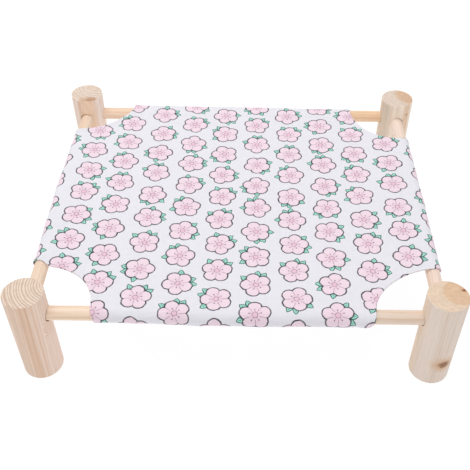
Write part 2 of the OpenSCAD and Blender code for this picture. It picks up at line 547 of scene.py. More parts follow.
def cutAway(piece, cutter):
    modifier = piece.modifiers.new("cut", "BOOLEAN")
    modifier.operation = "DIFFERENCE"
    modifier.solver = "EXACT"
    modifier.object = cutter
    bpy.context.view_layer.objects.active = piece
    bpy.ops.object.modifier_apply(modifier="cut")
    bpy.data.objects.remove(cutter)


def settle(piece, place, turn=(0, 0, 0)):
    # the place and turn go into the mesh
    selectOnly(piece)
    piece.rotation_euler = turn
    piece.location = place
    bpy.ops.object.transform_apply(location=True, rotation=True, scale=True)


def mergeSlivers(piece):
    selectOnly(piece)
    bpy.ops.object.mode_set(mode="EDIT")
    bpy.ops.mesh.select_all(action="SELECT")
    bpy.ops.mesh.remove_doubles(threshold=sliver)
    bpy.ops.mesh.dissolve_degenerate(threshold=sliver)
    bpy.ops.object.mode_set(mode="OBJECT")


def smoothSides(piece):
    selectOnly(piece)
    bpy.ops.object.shade_smooth_by_angle(angle=creaseAngle)


def dressRod(rod, looks):
    rod.data.materials.append(makeWood(rod.name + "Pine", looks))
    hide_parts(looks["node"])
    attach(rod, looks["body"])
    return rod


postSettings = {
    "sides": 132, "cuts": 44, "ease": 0.0012, "easeSteps": 5, "capRings": 7,
    "swell": 0.00035, "ripple": 0.00007, "endWave": 0.00018,
    "socketPlay": 0.0001, "socketSides": 96, "socketFloor": 0.009,  # the floor is so far from the post's axis
    "wear": 0.0001, "wornFrom": 0.012, "mouthLength": 0.026,
    "hewBlock": 0.1, "facetArea": 2e-5,  # larger faces are hewn facets
}
# places are from the post's own axis at the floor, azimuths and half widths in degrees, azimuths from +X
# mouths: how far each socket's mouth is worn to a side
# hewn: azimuth, and two points of the plane as (how far in from the side, how far down)
# side and end: early wood, late wood, how strongly the rings show; streak: tint, depth
# heart: tint, inner radius, outer radius, depth; bands: azimuth, half width, tint, depth
# swirls: centre, size, reach; scars: centre, size, tint, depth
# shade rims: painted shade, a dark line round a socket's mouth: the way the socket faces, its height, the
# shaded side, width, depth
postLooks = {
    "frontLeft": {
        "node": "front_left_post", "body": "left_end", "seed": 1, "taller": -0.0012, "slim": 1.0,
        "longMouth": (0, -0.0008, -0.0005), "shortMouth": (0, 0, 0.00004),
        "pith": (-0.0265, -0.0125, 0.0), "turn": (0.012, -0.02, 0.0),
        "ringWidth": 0.0029, "waviness": 0.0040, "twist": -0.7,
        "side": (rgb(241, 218, 203), rgb(222, 193, 172), 0.4),
        "end": (rgb(235, 217, 202), rgb(196, 164, 138), 0.68),
        "heart": (rgb(255, 253, 255), 0.0130, 0.0150, 0.5), "streak": (rgb(232, 212, 197), 0.38),
        "bands": [(-88, 10, rgb(240, 226, 210), 0.8), (-74, 3, rgb(236, 219, 202), 0.6),
                  (-60, 4, rgb(242, 228, 214), 0.6), (-118, 16, rgb(247, 244, 239), 0.9)],
        "swirls": [((0.0195, -0.0075, 0.0705), 0.0090, 0.0130)],
        "socketShadeRims": [((1, 0, 0), longRailZ, (0, -0.95, 0.1), 0.0019, 0.95)],
    },
    "frontRight": {
        "node": "front_right_post", "body": "right_end", "seed": 2, "taller": 0.0020, "slim": 1.0,
        "longMouth": (0, -0.0005, -0.0002), "shortMouth": (0, 0, 0.00004),
        "pith": (-0.0130, -0.0070, 0.0), "turn": (-0.02, 0.015, 0.0),
        "ringWidth": 0.0050, "waviness": 0.0045, "twist": -0.6,
        "side": (rgb(231, 215, 203), rgb(220, 201, 186), 0.2),
        "end": (rgb(230, 207, 184), rgb(222, 196, 170), 0.4),
        "heart": (rgb(248, 235, 221), 0.0151, 0.0182, 0.95), "streak": (rgb(236, 224, 217), 0.32),
        "bands": [(-104, 2, rgb(240, 230, 222), 0.6), (-96, 1.6, rgb(234, 222, 212), 0.5),
                  (-87, 2, rgb(240, 230, 222), 0.5), (-74, 1.6, rgb(240, 229, 221), 0.5),
                  (178, 24, rgb(255, 248, 234), 0.8)],
        "socketShadeRims": [((-1, 0, 0), longRailZ, (0, -0.9, -0.1), 0.0012, 0.7)],
        "knots": [
            {"shape": {"Centre": (0.0163, 0.0078, 0.1168), "Size": 0.0016, "Wide": 1.2, "Lean": 0.0},
             "core": rgb(112, 70, 56), "halo": rgb(232, 196, 168)},
            {"shape": {"Centre": (0.0078, -0.0195, 0.0315), "Size": 0.0060, "Wide": 1.3, "Lean": -0.12},
             "core": rgb(136, 92, 62), "halo": rgb(242, 212, 172)},
        ],
    },
    "rearLeft": {
        "node": "rear_left_post", "body": "left_end", "seed": 3, "taller": 0.0013, "slim": 0.965,
        "longMouth": (0, 0, -0.0002), "shortMouth": (-0.0005, 0, 0.0004),
        "hewn": [(-76, (0.0158, 0.0), (0.0058, 0.0018)), (-76, (0.0060, 0.0017), (0.0002, 0.0210)),
             (-14, (0.0080, 0.0), (0.0, 0.0034))],
        "pith": (-0.010, -0.013, 0.0), "turn": (0.02, 0.01, 0.0),
        "ringWidth": 0.0042, "waviness": 0.006, "twist": 0.0,
        "side": (rgb(249, 232, 220), rgb(237, 214, 197), 0.35),
        "end": (rgb(232, 215, 201), rgb(204, 178, 156), 0.55),
        "heart": (rgb(250, 240, 230), 0.0088, 0.0106, 0.4), "streak": (rgb(236, 218, 205), 0.5),
        "bands": [(-80, 30, rgb(250, 235, 217), 1.0), (-112, 6, rgb(240, 224, 210), 0.7),
                  (-135, 20, rgb(246, 244, 243), 0.9)],
        "scars": [((0.004, -0.0125, 0.1146), (0.0130, 0.0070, 0.0024), rgb(240, 225, 214), 0.9),
                  ((0.0085, -0.0135, 0.1143), (0.0080, 0.0065, 0.0026), rgb(232, 215, 203), 0.8)],
        "socketShadeRims": [((0, -1, 0), shortRailZ, (-0.35, 0, 0.9), 0.0011, 0.75)],
    },
    "rearRight": {
        "node": "rear_right_post", "body": "right_end", "seed": 4, "taller": -0.0015, "slim": 0.985,
        "longMouth": (0, -0.0003, -0.0003), "shortMouth": (0.0005, 0, 0.0002),
        "pith": (-0.025, -0.012, 0.0), "turn": (-0.012, -0.015, 0.0),
        "ringWidth": 0.0058, "waviness": 0.005, "twist": 0.8,
        "side": (rgb(248, 231, 214), rgb(234, 212, 193), 0.3),
        "end": (rgb(225, 207, 193), rgb(216, 195, 179), 0.4),
        "heart": (rgb(246, 226, 204), 0.0235, 0.0330, 1.0), "streak": (rgb(229, 212, 196), 0.48),
        "bands": [(-140, 26, rgb(229, 228, 224), 1.0), (-164, 2, rgb(226, 218, 206), 0.6),
                  (-155, 1.5, rgb(218, 211, 200), 0.7), (-147, 1.6, rgb(222, 214, 202), 0.7),
                  (-138, 1.4, rgb(222, 214, 203), 0.7), (-128, 1.6, rgb(228, 220, 209), 0.6),
                  (-50, 12, rgb(238, 219, 202), 0.8)],
        "socketShadeRims": [((0, -1, 0), shortRailZ, (0.5, 0, 0.8), 0.0010, 0.6)],
        "knots": [
            {"shape": {"Centre": (0.0122, -0.0163, 0.0985), "Size": 0.0013, "Wide": 1.0, "Lean": 0.0},
             "core": rgb(164, 120, 92), "halo": rgb(238, 212, 188)},
        ],
    },
}


def boreSocket(post, axis, direction, height, mouth, settings):
    # a blind hole, and round its mouth a shallower one worn to one side
    along = Vector(direction)
    length, radius = settings["mouthLength"], railRadius + settings["socketPlay"]
    turn = (0, math.pi / 2, 0) if along.x else (math.pi / 2, 0, 0)
    bores = ((0, settings["socketFloor"], (0, 0, 0)), (settings["wear"], settings["wornFrom"], mouth))
    for grow, start, shift in bores:
        cutter = added(bpy.ops.mesh.primitive_cylinder_add, "socketCutter",
                       vertices=settings["socketSides"], radius=radius + grow, depth=length)
        middle = Vector((axis[0], axis[1], height)) + along * (start + length / 2)
        settle(cutter, middle + Vector(shift), turn)
        cutAway(post, cutter)


def hewTop(post, axis, radius, height, planes, settings):
    block = settings["hewBlock"]
    for azimuth, *spots in planes:
        toward = levelDirection(azimuth)
        first, second = (Vector(axis) + toward * (radius - inward) + Vector((0, 0, height - down))
                         for inward, down in spots)
        slope = (second - first).normalized()
        normal = toward.cross(Vector((0, 0, 1))).cross(slope)
        if normal.z < 0:
            normal = -normal
        cutter = added(bpy.ops.mesh.primitive_cube_add, "hewingBlock", size=block)
        turn = Matrix((slope, normal.cross(slope), normal)).transposed()
        settle(cutter, (first + second) / 2 + normal * block / 2, turn.to_euler())
        cutAway(post, cutter)


def makePost(name, looks, settings):
    signX, signY = signsOf(name)
    axis = (signX * halfX, signY * halfY, 0)
    radius, height = postRadius * looks["slim"], postHeight + looks["taller"]
    post = turnRod(name + "Post", radius, height, settings)
    weather(post, radius, settings, looks["seed"])
    settle(post, (axis[0], axis[1], height / 2))
    hewTop(post, axis, radius, height, looks.get("hewn", []), settings)
    boreSocket(post, axis, (-signX, 0, 0), longRailZ, looks["longMouth"], settings)
    boreSocket(post, axis, (0, -signY, 0), shortRailZ, looks["shortMouth"], settings)
    mergeSlivers(post)
    smoothSides(post)
    for face in post.data.polygons:
        if "hewn" in looks and face.area > settings["facetArea"]:
            face.use_smooth = False
    return dressRod(post, dict(looks, toMiddle=(-axis[0], -axis[1], 0.0), endAxis=2))


posts = [makePost(name, looks, postSettings) for name, looks in postLooks.items()]
print("posts made:", len(posts))

railSettings = {
    "sides": 72, "cuts": 90, "ease": 0.0008, "easeSteps": 5, "capRings": 3,
    "swell": 0.00006, "ripple": 0.00003, "endWave": 0.0,
}
# wood as on the posts; drifts: axis, from, to, tint
railWood = {
    "ringWidth": 0.0036, "waviness": 0.006, "twist": 0.0,
    "end": (rgb(244, 222, 196), rgb(220, 182, 146), 0.7),
    "heart": (rgb(240, 218, 196), 0.0088, 0.0106, 0.4), "streak": (rgb(236, 214, 196), 0.6),
}
railLooks = {
    "front": {
        "node": "front_rail", "body": "front_dowel", "seed": 11, "pith": (0.021, -0.013, 0.0),
        "side": (rgb(248, 227, 206), rgb(236, 208, 182), 0.35),
        "drifts": [(0, -0.12, 0.2, rgb(241, 242, 246))],
    },
    "rear": {
        "node": "rear_rail", "body": "rear_dowel", "seed": 12, "pith": (-0.018, -0.016, 0.0),
        "side": (rgb(244, 217, 193), rgb(232, 195, 163), 0.4),
        "drifts": [(0, -0.2, 0.12, rgb(255, 250, 239))],
    },
    "left": {
        "node": "left_rail", "body": "left_dowel", "seed": 13, "pith": (0.014, 0.020, 0.0),
        "side": (rgb(240, 218, 197), rgb(228, 199, 175), 0.4),
    },
    "right": {
        "node": "right_rail", "body": "right_dowel", "seed": 14, "pith": (-0.022, 0.010, 0.0),
        "side": (rgb(242, 222, 208), rgb(231, 206, 189), 0.4),
    },
}


def makeRail(name, looks, settings):
    low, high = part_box(looks["node"])
    middle = (low + high) / 2
    endAxis = 0 if high.x - low.x > high.y - low.y else 1
    turn = (0, math.pi / 2, 0) if endAxis == 0 else (-math.pi / 2, 0, 0)
    rail = turnRod(name + "Rail", railRadius, high[endAxis] - low[endAxis], settings)
    weather(rail, railRadius, settings, looks["seed"])
    settle(rail, middle, turn)
    smoothSides(rail)
    back = [-angle for angle in turn]
    return dressRod(rail, dict(railWood, **looks, turn=back, toMiddle=-middle, endAxis=endAxis))


rails = [makeRail(name, looks, railSettings) for name, looks in railLooks.items()]
print("rails made:", len(rails))

# cloth: a plain weave with a printed repeat, laid out on the flat cut in metres
printSettings = {
    "repeat": 0.0412,  # one blossom to a cell, with every other column dropped by half
    "stray": 0.015,  # how far a blossom lies off the middle of its cell, in cells
    "waver": ((230, 230, 0), 1.0), "waverReach": (0.0016, 0.0016, 0),  # as in a hand-drawn line
    "ground": rgb(235, 233, 240), "line": rgb(60, 62, 72),
    "petal": rgb(244, 222, 233), "petalDeep": rgb(239, 200, 217),
    "leaf": rgb(163, 222, 206), "leafLine": rgb(56, 109, 95),
    # the ink lies unevenly: deeper toward the middle of a blossom, with paler brush marks
    "patches": ((190, 190, 0), 3.0, 0.65), "patchReach": 7.0,
    "deepInk": (6.0, 14.0, 0.45, 0.0), "lineInk": (0.3, 0.62, 0.8, 1.0), "partingInk": 0.75, "eyeInk": 0.8,
    # sizes in millimetres from a blossom's middle; lines by half their width
    "blur": 0.2,
    "petals": 5, "petalOut": 9.6, "petalRadius": 6.8, "petalNarrow": 0.94, "petalLine": 0.70, "filled": 0.7,
    "eyeRadius": 2.8, "eyeLine": 0.28, "partingLine": 0.24, "partingStart": (1.2, 2.6),
    "antherOut": 6.4, "antherRadius": 0.65,
    "threadLine": 0.14, "threadStart": (2.6, 3.0), "threadEnd": (5.9, 6.3, 1.0, 0.0),
    "leaves": ((239, 14.2), (265, 14.2), (324, 13.9)),  # (degrees, distance out)
    "leafLength": 6.4, "leafWidth": 3.3, "leafEdge": 0.58, "leafTip": (0.2, 0.8),
    "ribLine": 0.2, "ribEnd": (3.0, 4.2, 1.0, 0.0),
}


def lengthOf(first, second):
    return calc("SQRT", plus(times(first, first), times(second, second)))


def inside(distance, reach=0.0):
    # 1 up to the reach and 0 past it, with a soft edge
    blur = printSettings["blur"]
    return fade(distance, reach - blur, reach + blur, 1.0, 0.0)


def stroke(distance, half):
    return inside(calc("ABSOLUTE", distance), half)


def blossomPlace(tree, vector, settings):
    # millimetres from the nearest blossom's middle, each blossom turned its own way
    waver = stretch(drift(vector, *settings["waver"]), settings["waverReach"])
    cells = split(stretch(calcVector("ADD", vector, waver), (1 / settings["repeat"],) * 3))
    column = calc("FLOOR", cells[0])
    along = plus(cells[1], times(calc("FLOORED_MODULO", column, 2.0), 0.5))
    cell = joined(column, calc("FLOOR", along), 0.0)
    draw = put(tree, "ShaderNodeTexWhiteNoise", {"Vector": cell}, noise_dimensions="2D").outputs[1]
    chance = put(tree, "ShaderNodeSeparateColor", {0: draw}).outputs

    def fromMiddle(place, luck):
        stray = fade(luck, 0, 1, -settings["stray"], settings["stray"])
        return times(plus(minus(calc("FRACT", place), 0.5), stray), settings["repeat"] * 1000)

    x, y = fromMiddle(cells[0], chance[1]), fromMiddle(along, chance[2])
    angle = times(chance[0], 2 * math.pi)
    cosine, sine = calc("COSINE", angle), calc("SINE", angle)
    return plus(times(x, cosine), times(y, sine)), minus(times(y, cosine), times(x, sine))


def drawLeaves(u, v, settings):
    fill, lines = 0.0, 0.0
    tip = [settings["leafLength"] + past for past in settings["leafTip"]]
    for degrees, reach in settings["leaves"]:
        dx, dy, _ = levelDirection(degrees)
        along = minus(plus(times(u, dx), times(v, dy)), reach)
        across = minus(times(v, dx), times(u, dy))
        share = ratio(along, settings["leafLength"])
        half = times(minus(1.0, times(share, share)), settings["leafWidth"])
        leaf = minus(calc("ABSOLUTE", across), half)
        rib = times(inside(leaf), fade(along, *settings["ribEnd"]))
        rib = times(stroke(across, settings["ribLine"]), rib)
        edge = times(stroke(leaf, settings["leafEdge"]), fade(calc("ABSOLUTE", along), *tip, 1.0, 0.0))
        fill = most(inside(leaf), fill)
        lines = most(most(edge, rib), lines)
    return fill, lines


def makePrintGroup(settings):
    tree, given, out = newGroup("blossomPrint", {"Vector": None}, ("Colour", "Ink"))
    u, v = blossomPlace(tree, given["Vector"], settings)
    radius = lengthOf(u, v)
    # fold the petals onto one
    wedge = 2 * math.pi / settings["petals"]
    folded = calc("FLOORED_MODULO", plus(calc("ARCTAN2", v, u), wedge / 2), wedge)
    folded = minus(folded, wedge / 2)
    a, b = times(radius, calc("COSINE", folded)), times(radius, calc("SINE", folded))

    petal = lengthOf(minus(a, settings["petalOut"]), times(b, settings["petalNarrow"]))
    petal = minus(petal, settings["petalRadius"])
    petal = calc("MINIMUM", petal, minus(radius, settings["petalOut"] * settings["filled"]))
    bloom = inside(petal)
    eye = minus(radius, settings["eyeRadius"])
    parting = times(radius, calc("SINE", minus(wedge / 2, calc("ABSOLUTE", folded))))
    partingStart = [settings["eyeRadius"] + past for past in settings["partingStart"]]
    parting = times(stroke(parting, settings["partingLine"]), fade(radius, *partingStart))
    anther = inside(minus(lengthOf(minus(a, settings["antherOut"]), b), settings["antherRadius"]))
    thread = times(fade(a, *settings["threadStart"]), fade(a, *settings["threadEnd"]))
    thread = times(stroke(b, settings["threadLine"]), thread)
    leafFill, leafLines = drawLeaves(u, v, settings)

    patchy = cloud(given["Vector"], *settings["patches"])[0]
    deep = fade(plus(a, times(patchy, settings["patchReach"])), *settings["deepInk"])
    colour = mixColour(leafFill, settings["ground"], settings["leaf"])
    colour = mixColour(leafLines, colour, settings["leafLine"])
    colour = mixColour(bloom, colour, mixColour(deep, settings["petal"], settings["petalDeep"]))
    colour = mixColour(inside(eye), colour, settings["petalDeep"])
    lines = most(stroke(petal, settings["petalLine"]), times(bloom, times(parting, settings["partingInk"])))
    eyeLine = times(stroke(eye, settings["eyeLine"]), settings["eyeInk"])
    lines = most(lines, most(eyeLine, most(anther, thread)))
    colour = mixColour(times(lines, fade(patchy, *settings["lineInk"])), colour, settings["line"])
    feedAll(out, {"Colour": colour, "Ink": most(bloom, most(leafFill, lines))})
    return tree


weaveSettings = {
    "pitch": 0.0006,
    "slubs": ((1300, 38, 0), (38, 1300, 0)), "slubRise": 0.9,  # uneven threads, each way
}


def makeWeaveGroup(settings):
    inputs = {"Vector": None, "Pitch": settings["pitch"]}
    tree, given, out = newGroup("plainWeave", inputs, ("Height", "Slub"))
    x, y, _ = split(scaleBy(given["Vector"], ratio(1.0, given["Pitch"])))
    warp, weft = (calc("ABSOLUTE", calc("SINE", times(across, math.pi))) for across in (x, y))
    over = calc("FLOORED_MODULO", plus(calc("FLOOR", x), calc("FLOOR", y)), 2.0)
    top = put(tree, "ShaderNodeMix", {0: over, 2: warp, 3: weft}, data_type="FLOAT").outputs[0]
    lengthwise, crosswise = (cloud(given["Vector"], waves)[0] for waves in settings["slubs"])
    slub = times(plus(lengthwise, crosswise), 0.5)
    feedAll(out, {"Height": plus(top, times(slub, settings["slubRise"])), "Slub": slub})
    return tree


printGroup = makePrintGroup(printSettings)
weaveGroup = makeWeaveGroup(weaveSettings)

clothSettings = {
    "reverse": 0.35,  # how much of the print shows through
    "slubTone": (0.3, 0.7, 0.955, 1.02), "roughness": (0, 1, 0.92, 0.84),  # bare cloth to full ink
    "specular": 0.12, "sheen": 0.10, "sheenRoughness": 0.6, "bump": (0.00012, 0.6),
}
threadSettings = {
    "twist": 900.0, "twistBlur": 2.0, "dark": rgb(218, 216, 223), "pale": rgb(234, 232, 238),
    "roughness": 0.6, "specular": 0.25, "bump": (0.00006, 0.7),
}


def makeCloth(name, printShare, settings):
    material, tree, shader = newMaterial(name)
    flat = put(tree, "ShaderNodeUVMap", {}, uv_map="flat").outputs[0]
    ink = useGroup(tree, printGroup, {"Vector": flat})
    weave = useGroup(tree, weaveGroup, {"Vector": flat, "Pitch": weaveSettings["pitch"]})
    colour = ink["Colour"]
    if printShare < 1:
        colour = mixColour(printShare, printSettings["ground"], colour)
    feedAll(shader, {
        "Base Color": shade(colour, fade(weave["Slub"], *settings["slubTone"])),
        "Roughness": fade(ink["Ink"], *settings["roughness"]),
        "Specular IOR Level": settings["specular"],
        "Sheen Weight": settings["sheen"], "Sheen Roughness": settings["sheenRoughness"],
        "Normal": bumpFrom(weave["Height"], *settings["bump"]),
    })
    return material


def makeThread(name, settings):
    material, tree, shader = newMaterial(name)
    where = put(tree, "ShaderNodeTexCoord", {}).outputs["Object"]
    inputs = {"Vector": where, "Scale": settings["twist"], "Distortion": settings["twistBlur"]}
    twist = put(tree, "ShaderNodeTexWave", inputs, bands_direction="DIAGONAL").outputs[1]
    feedAll(shader, {
        "Base Color": mixColour(twist, settings["dark"], settings["pale"]),
        "Roughness": settings["roughness"], "Specular IOR Level": settings["specular"],
        "Normal": bumpFrom(twist, *settings["bump"]),
    })
    return material


# sling: one cut of cotton, its four flaps turned round the rails and sewn down below the panel
slingSettings = {
    "thick": 0.0007, "hemThick": 0.0013, "allowance": 0.008, "sag": 0.004,
    "lift": 0.0085,  # printed face above a rail's axis
    "wrapTurn": math.radians(236),  # how far a flap goes round its rail before it runs straight to the seam
    "wrapEase": 0.0006,  # a flap's mean radius is this much over the lift
    "seamGap": 0.0003,  # between the two layers at the seam
    "hem": 0.0055, "hemFade": (1.05, 1.45), "hemRaise": 0.0007, "hemFaint": 0.001,
    "groove": 0.00025, "grooveWidth": 0.0011,
    # the mesh, which lies closer toward its edges
    "columns": 124, "rows": 140, "cutRows": 36, "arcSteps": 28, "lineSteps": 6, "allowanceSteps": 3,
    "columnCrowd": 0.5, "rowCrowd": 0.55, "rowBend": 0.03,
    # each corner's cut-out: its reach from the post's axis along the long and the short rail, its roundness
    # (2 is an ellipse) and how much further it reaches where it meets the short rail
    "cuts": {"frontLeft": (0.0635, 0.0565, 2.22, 0.0070), "frontRight": (0.0680, 0.0581, 1.78, 0.0),
             "rearLeft": (0.0615, 0.0540, 1.50, 0.0), "rearRight": (0.0622, 0.0670, 1.95, 0.0)},
    "cutTail": 0.012,  # width of that last stretch
    # slack below the rail and puff outside it, at a sleeve's start, middle and end
    "slack": {"front": (0.0006, 0.0034, 0.0026), "rear": (0.0010, 0.0030, 0.0010),
              "left": (0.0004, 0.0022, 0.0006), "right": (0.0004, 0.0014, 0.0004)},
    "puff": {"front": (0.0001, 0.0006, 0.0003), "rear": (0.0028, 0.0016, 0.0004),
             "left": (0.0002, 0.0013, 0.0003), "right": (0.0001, 0.0003, 0.0001)},
    "puffAim": math.radians(35), "puffFrom": 0.5,  # above the level, and the turn where it is full
    # waves along a sleeve: rise, rate, lean with the turn, share of the sleeve's seed
    "waves": ((0.00035, 83, 2.2, 1), (0.00022, 211, -1.3, 2)), "waveFloor": -0.0002, "waveFrom": 0.9,
    "seeds": {"front": 0.0, "rear": 2.1, "left": 4.2, "right": 5.7},
    "snugEnds": 6, "droop": 0.0005,
    # slope of each sleeve end: how much shorter the flap gets as it goes round the rail
    "slope": {"frontStart": 0.22, "frontEnd": 0.11, "rearStart": 0.45, "rearEnd": 0.05,
              "leftStart": 0.12, "leftEnd": 0.05, "rightStart": 0.28, "rightEnd": 0.06},
    "slopeRun": 0.020, "mitre": 0.0105,  # below the rail the flap's ends are mitred further back
    "mitreFrom": {"frontEnd": (0.010, 0.029)},  # flat distances where that starts and ends, else these:
    "mitreUsual": (0.022, 0.036),
    # the panel's unevenness, which dies out toward the rails
    "calm": (0.004, 0.03),
    "pullRise": 0.00045, "pullWidth": 0.0135, "pullLean": 9, "pullReach": 0.035,
    # slow swells: rise, then two waves as (rate along X, rate along Y, start)
    "swells": ((0.0005, (31, 17, 0.6), (13, -37, 1.1)), (0.00025, (71, 11, 0), (-9, 63, 0))),
    "seamDraw": 0.00036, "seamWidth": 0.0018,
    "puckerRise": 0.00014, "puckerWidth": 0.005, "puckerLength": 0.0071, "puckerStray": 1.7, "strayRate": 90,
    # points between which the cloth would stretch evenly as the right end is drawn off; nothing in this
    # script uses them
    "stretchStart": (-0.184, 0, 0.09), "stretchEnd": (0.184, 0, 0.09),
}


def smoothStep(value, low, high):
    t = np.clip((value - low) / (high - low), 0, 1)
    return t * t * (3 - 2 * t)


def threeWay(t, start, middle, end):
    # eases from start through middle to end as t goes from -1 to 1
    left = start + (middle - start) * smoothStep(t, -1, 0)
    return left + (end - middle) * smoothStep(t, 0, 1)


def bell(distance, width):
    return np.exp(-(distance / width) ** 2)


def crowd(count, amount):
    # shares from 0 to 1 that lie closer together toward both ends
    even = np.linspace(0, 1, count)
    return (1 - amount) * even + amount * (0.5 - 0.5 * np.cos(math.pi * even))


def hemWeight(edge, settings):
    # 1 on a turned hem and 0 past it
    inner, outer = (settings["hem"] * share for share in settings["hemFade"])
    return 1 - smoothStep(edge, inner, outer)


def hemRelief(edge, settings):
    # a turned hem is thicker, with a groove where it is sewn
    groove = settings["groove"] * bell(edge - settings["hem"], settings["grooveWidth"])
    return settings["hemRaise"] * hemWeight(edge, settings) - groove


def tailReach(x, corner, settings):
    return settings["cuts"][corner][3] * (1 - smoothStep(x, 0, settings["cutTail"]))


def cutCurve(angles, corner, settings, grow=1.0):
    # the edge of a cut-out, from the post's axis
    reachX, reachY, power, _ = settings["cuts"][corner]
    x = grow * reachX * np.clip(np.cos(angles), 0, 1) ** (2 / power)
    y = grow * reachY * np.clip(np.sin(angles), 0, 1) ** (2 / power)
    return x, y + tailReach(x, corner, settings)


def cutDistance(p, q, settings):
    # how far a flat point lies from the nearest corner cut-out
    nearest = np.full(np.shape(p), np.inf)
    for corner, (reachX, reachY, power, _) in settings["cuts"].items():
        signX, signY = signsOf(corner)
        x, y = np.abs(p - halfX * signX), np.abs(q - halfY * signY)
        y = np.maximum(y - tailReach(x, corner, settings), 0)
        share = ((x / reachX) ** power + (y / reachY) ** power) ** (1 / power)
        nearest = np.minimum(nearest, (share - 1) * (reachX + reachY) / 2)
    return nearest


def panelHeight(p, q, settings):
    # level along each rail, lowest in the middle, with the ripples of a hand-sewn sheet
    a = np.clip(np.abs(p) / halfX, 0, 1) ** 2
    b = np.clip(np.abs(q) / halfY, 0, 1) ** 2
    side, end, mid = a * (1 - b), b * (1 - a), (1 - a) * (1 - b)
    longTop, shortTop = longRailZ + settings["lift"], shortRailZ + settings["lift"]
    height = shortTop * side + longTop * end + (longTop - settings["sag"]) * mid
    height = height / np.maximum(side + end + mid, tiny)
    inner = smoothStep(halfX - np.abs(p), *settings["calm"])
    inner = inner * smoothStep(halfY - np.abs(q), *settings["calm"])
    # pulls that run along the edge of each cut-out
    edge = cutDistance(p, q, settings)
    pull = np.sin(edge / settings["pullWidth"] * 2 * np.pi + settings["pullLean"] * (p + q))
    pull = pull * np.exp(-np.maximum(edge, 0) / settings["pullReach"])
    height = height + inner * settings["pullRise"] * pull
    # slow unevenness over the whole panel
    for rise, *waves in settings["swells"]:
        first, second = (np.sin(rateP * p + rateQ * q + start) for rateP, rateQ, start in waves)
        height = height + inner * rise * first * second
    # the seam draws the cloth in and puckers it
    for seam, along in ((halfX - seamIn - np.abs(p), q), (halfY - seamIn - np.abs(q), p)):
        stray = settings["puckerStray"] * np.sin(along * settings["strayRate"])
        pucker = np.sin(along / settings["puckerLength"] * 2 * np.pi + stray)
        height = height - settings["seamDraw"] * bell(seam, settings["seamWidth"])
        height = height + settings["puckerRise"] * pucker * bell(seam, settings["puckerWidth"])
    return height + hemRelief(edge, settings)


def panelGrid(settings):
    # flat places of the panel's vertices, row by row from front to rear
    rows, cutRows = settings["rows"], settings["cutRows"]
    angles = np.linspace(0, math.pi / 2, cutRows + 1)
    between = crowd(rows - 2 * cutRows + 1, settings["rowCrowd"])[1:-1]
    edges = []
    for side, sign in (("Left", -1), ("Right", 1)):
        frontX, frontY = cutCurve(angles, "front" + side, settings)
        rearX, rearY = (part[::-1] for part in cutCurve(angles, "rear" + side, settings))
        frontQ, rearQ = frontY - halfY, halfY - rearY
        middleQ = frontQ[-1] + (rearQ[0] - frontQ[-1]) * between
        edgeP = np.concatenate([halfX - frontX, np.full(len(middleQ), halfX), halfX - rearX])
        edges.append(np.stack([sign * edgeP, np.concatenate([frontQ, middleQ, rearQ])])[:, :, None])
    (leftP, leftQ), (rightP, rightQ) = edges
    evenQ = np.linspace(-halfY, halfY, rows + 1)[:, None]
    p = leftP + (rightP - leftP) * crowd(settings["columns"] + 1, settings["columnCrowd"])
    toLeft, toRight = bell(p - leftP, settings["rowBend"]), bell(rightP - p, settings["rowBend"])
    return p, evenQ + toLeft * (leftQ - evenQ) + toRight * (rightQ - evenQ)


def wrapStations(settings):
    # (kind, share along that kind, flat distance from the rail's top line)
    radius = settings["lift"] + settings["wrapEase"]
    last = math.pi / 2 - settings["wrapTurn"]
    rise = settings["lift"] - 2 * settings["thick"] - radius * math.sin(last)
    back = math.hypot(seamIn + radius * math.cos(last), rise)
    lengths = {"arc": settings["wrapTurn"] * radius, "line": back, "allowance": settings["allowance"]}
    stations, start = [], 0.0
    for kind, length in lengths.items():
        steps = settings[kind + "Steps"]
        stations += [(kind, k / steps, start + length * k / steps) for k in range(1, steps + 1)]
        start += length
    return stations


def wrapSection(station, t, along, sleeve, inward, below, raised, settings):
    # outward and upward distance from the rail's axis; t runs from -1 to 1 along the sleeve
    kind, share, _ = station
    slack = threeWay(t, *settings["slack"][sleeve])
    puff = threeWay(t, *settings["puff"][sleeve])
    seed = settings["seeds"][sleeve]
    loose = 1 - np.abs(t) ** settings["snugEnds"]  # the ends lie snug

    def around(turn):
        phi = math.pi / 2 - turn
        wave = 0.0
        for rise, rate, lean, part in settings["waves"]:
            wave = wave + rise * np.sin(along * rate + lean * turn + part * seed)
        puffed = max(0.0, math.cos(phi - settings["puffAim"])) ** 2 * min(1.0, turn / settings["puffFrom"])
        away = settings["lift"] + slack * (1 - math.sin(phi)) / 2 + raised + puff * puffed
        away = away + np.maximum(wave, settings["waveFloor"]) * loose * min(1.0, turn / settings["waveFrom"])
        return away * math.cos(phi), away * math.sin(phi)

    if kind == "arc":
        return around(share * settings["wrapTurn"])
    if kind == "allowance":
        return np.full(np.shape(along), inward), below
    fromU, fromV = around(settings["wrapTurn"])
    droop = settings["droop"] * math.sin(math.pi * share)
    return fromU + (inward - fromU) * share, fromV + (below - fromV) * share - droop


def inOrder(onX, along, outward):
    return (along, outward) if onX else (outward, along)


def alongPath(at, marks, path):
    # points of a path at some of its marks
    return np.stack([np.interp(at, marks, path[:, k]) for k in range(3)], -1)


